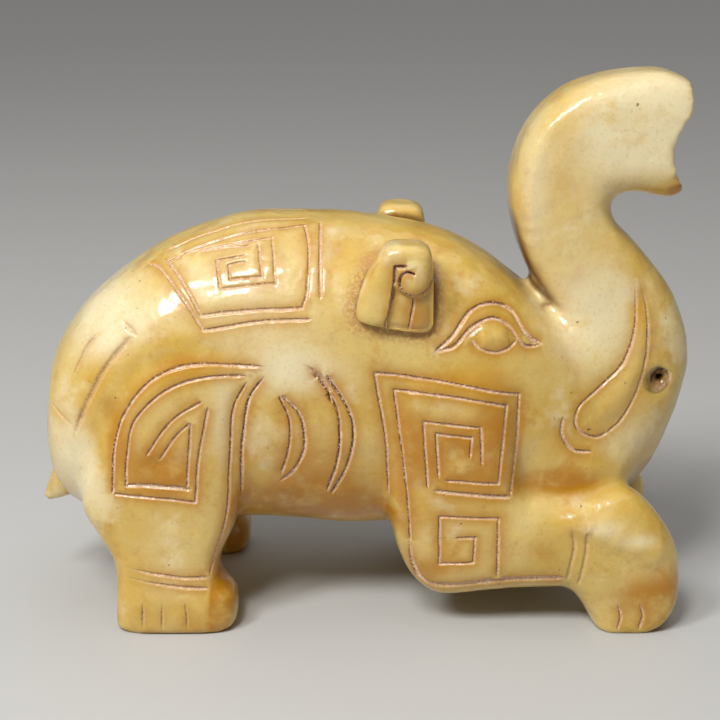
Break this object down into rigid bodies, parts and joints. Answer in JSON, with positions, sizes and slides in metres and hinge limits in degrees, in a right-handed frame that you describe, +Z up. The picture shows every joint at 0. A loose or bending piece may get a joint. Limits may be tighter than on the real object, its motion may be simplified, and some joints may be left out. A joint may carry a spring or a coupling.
{
  "type": "carved jade elephant figurine",
  "caption": "Polished jade elephant with a raised trunk, folded forelegs, scroll ears, incised meander bands and a cord hole through the face; a shelf ornament or hand piece.",
  "frame": {"origin": "on the plane of the soles, midway between the tail tip and the front of the face, in the middle plane", "axes": "+X from the tail to the head, +Y to the elephant's left, +Z up; the right side is on -Y"},
  "size_m": [0.122, 0.0464, 0.0997],
  "materials": {
    "jade": "polished and waxed, honey yellow with amber patches"
  },
  "bodies": {
    "root": {"torso": "jade", "head": "jade", "trunk": "jade", "ear_right": "jade", "ear_left": "jade", "foreleg_right": "jade", "foreleg_left": "jade", "hindleg_right": "jade", "hindleg_left": "jade", "tail": "jade"}
  },
  "joints": []
}
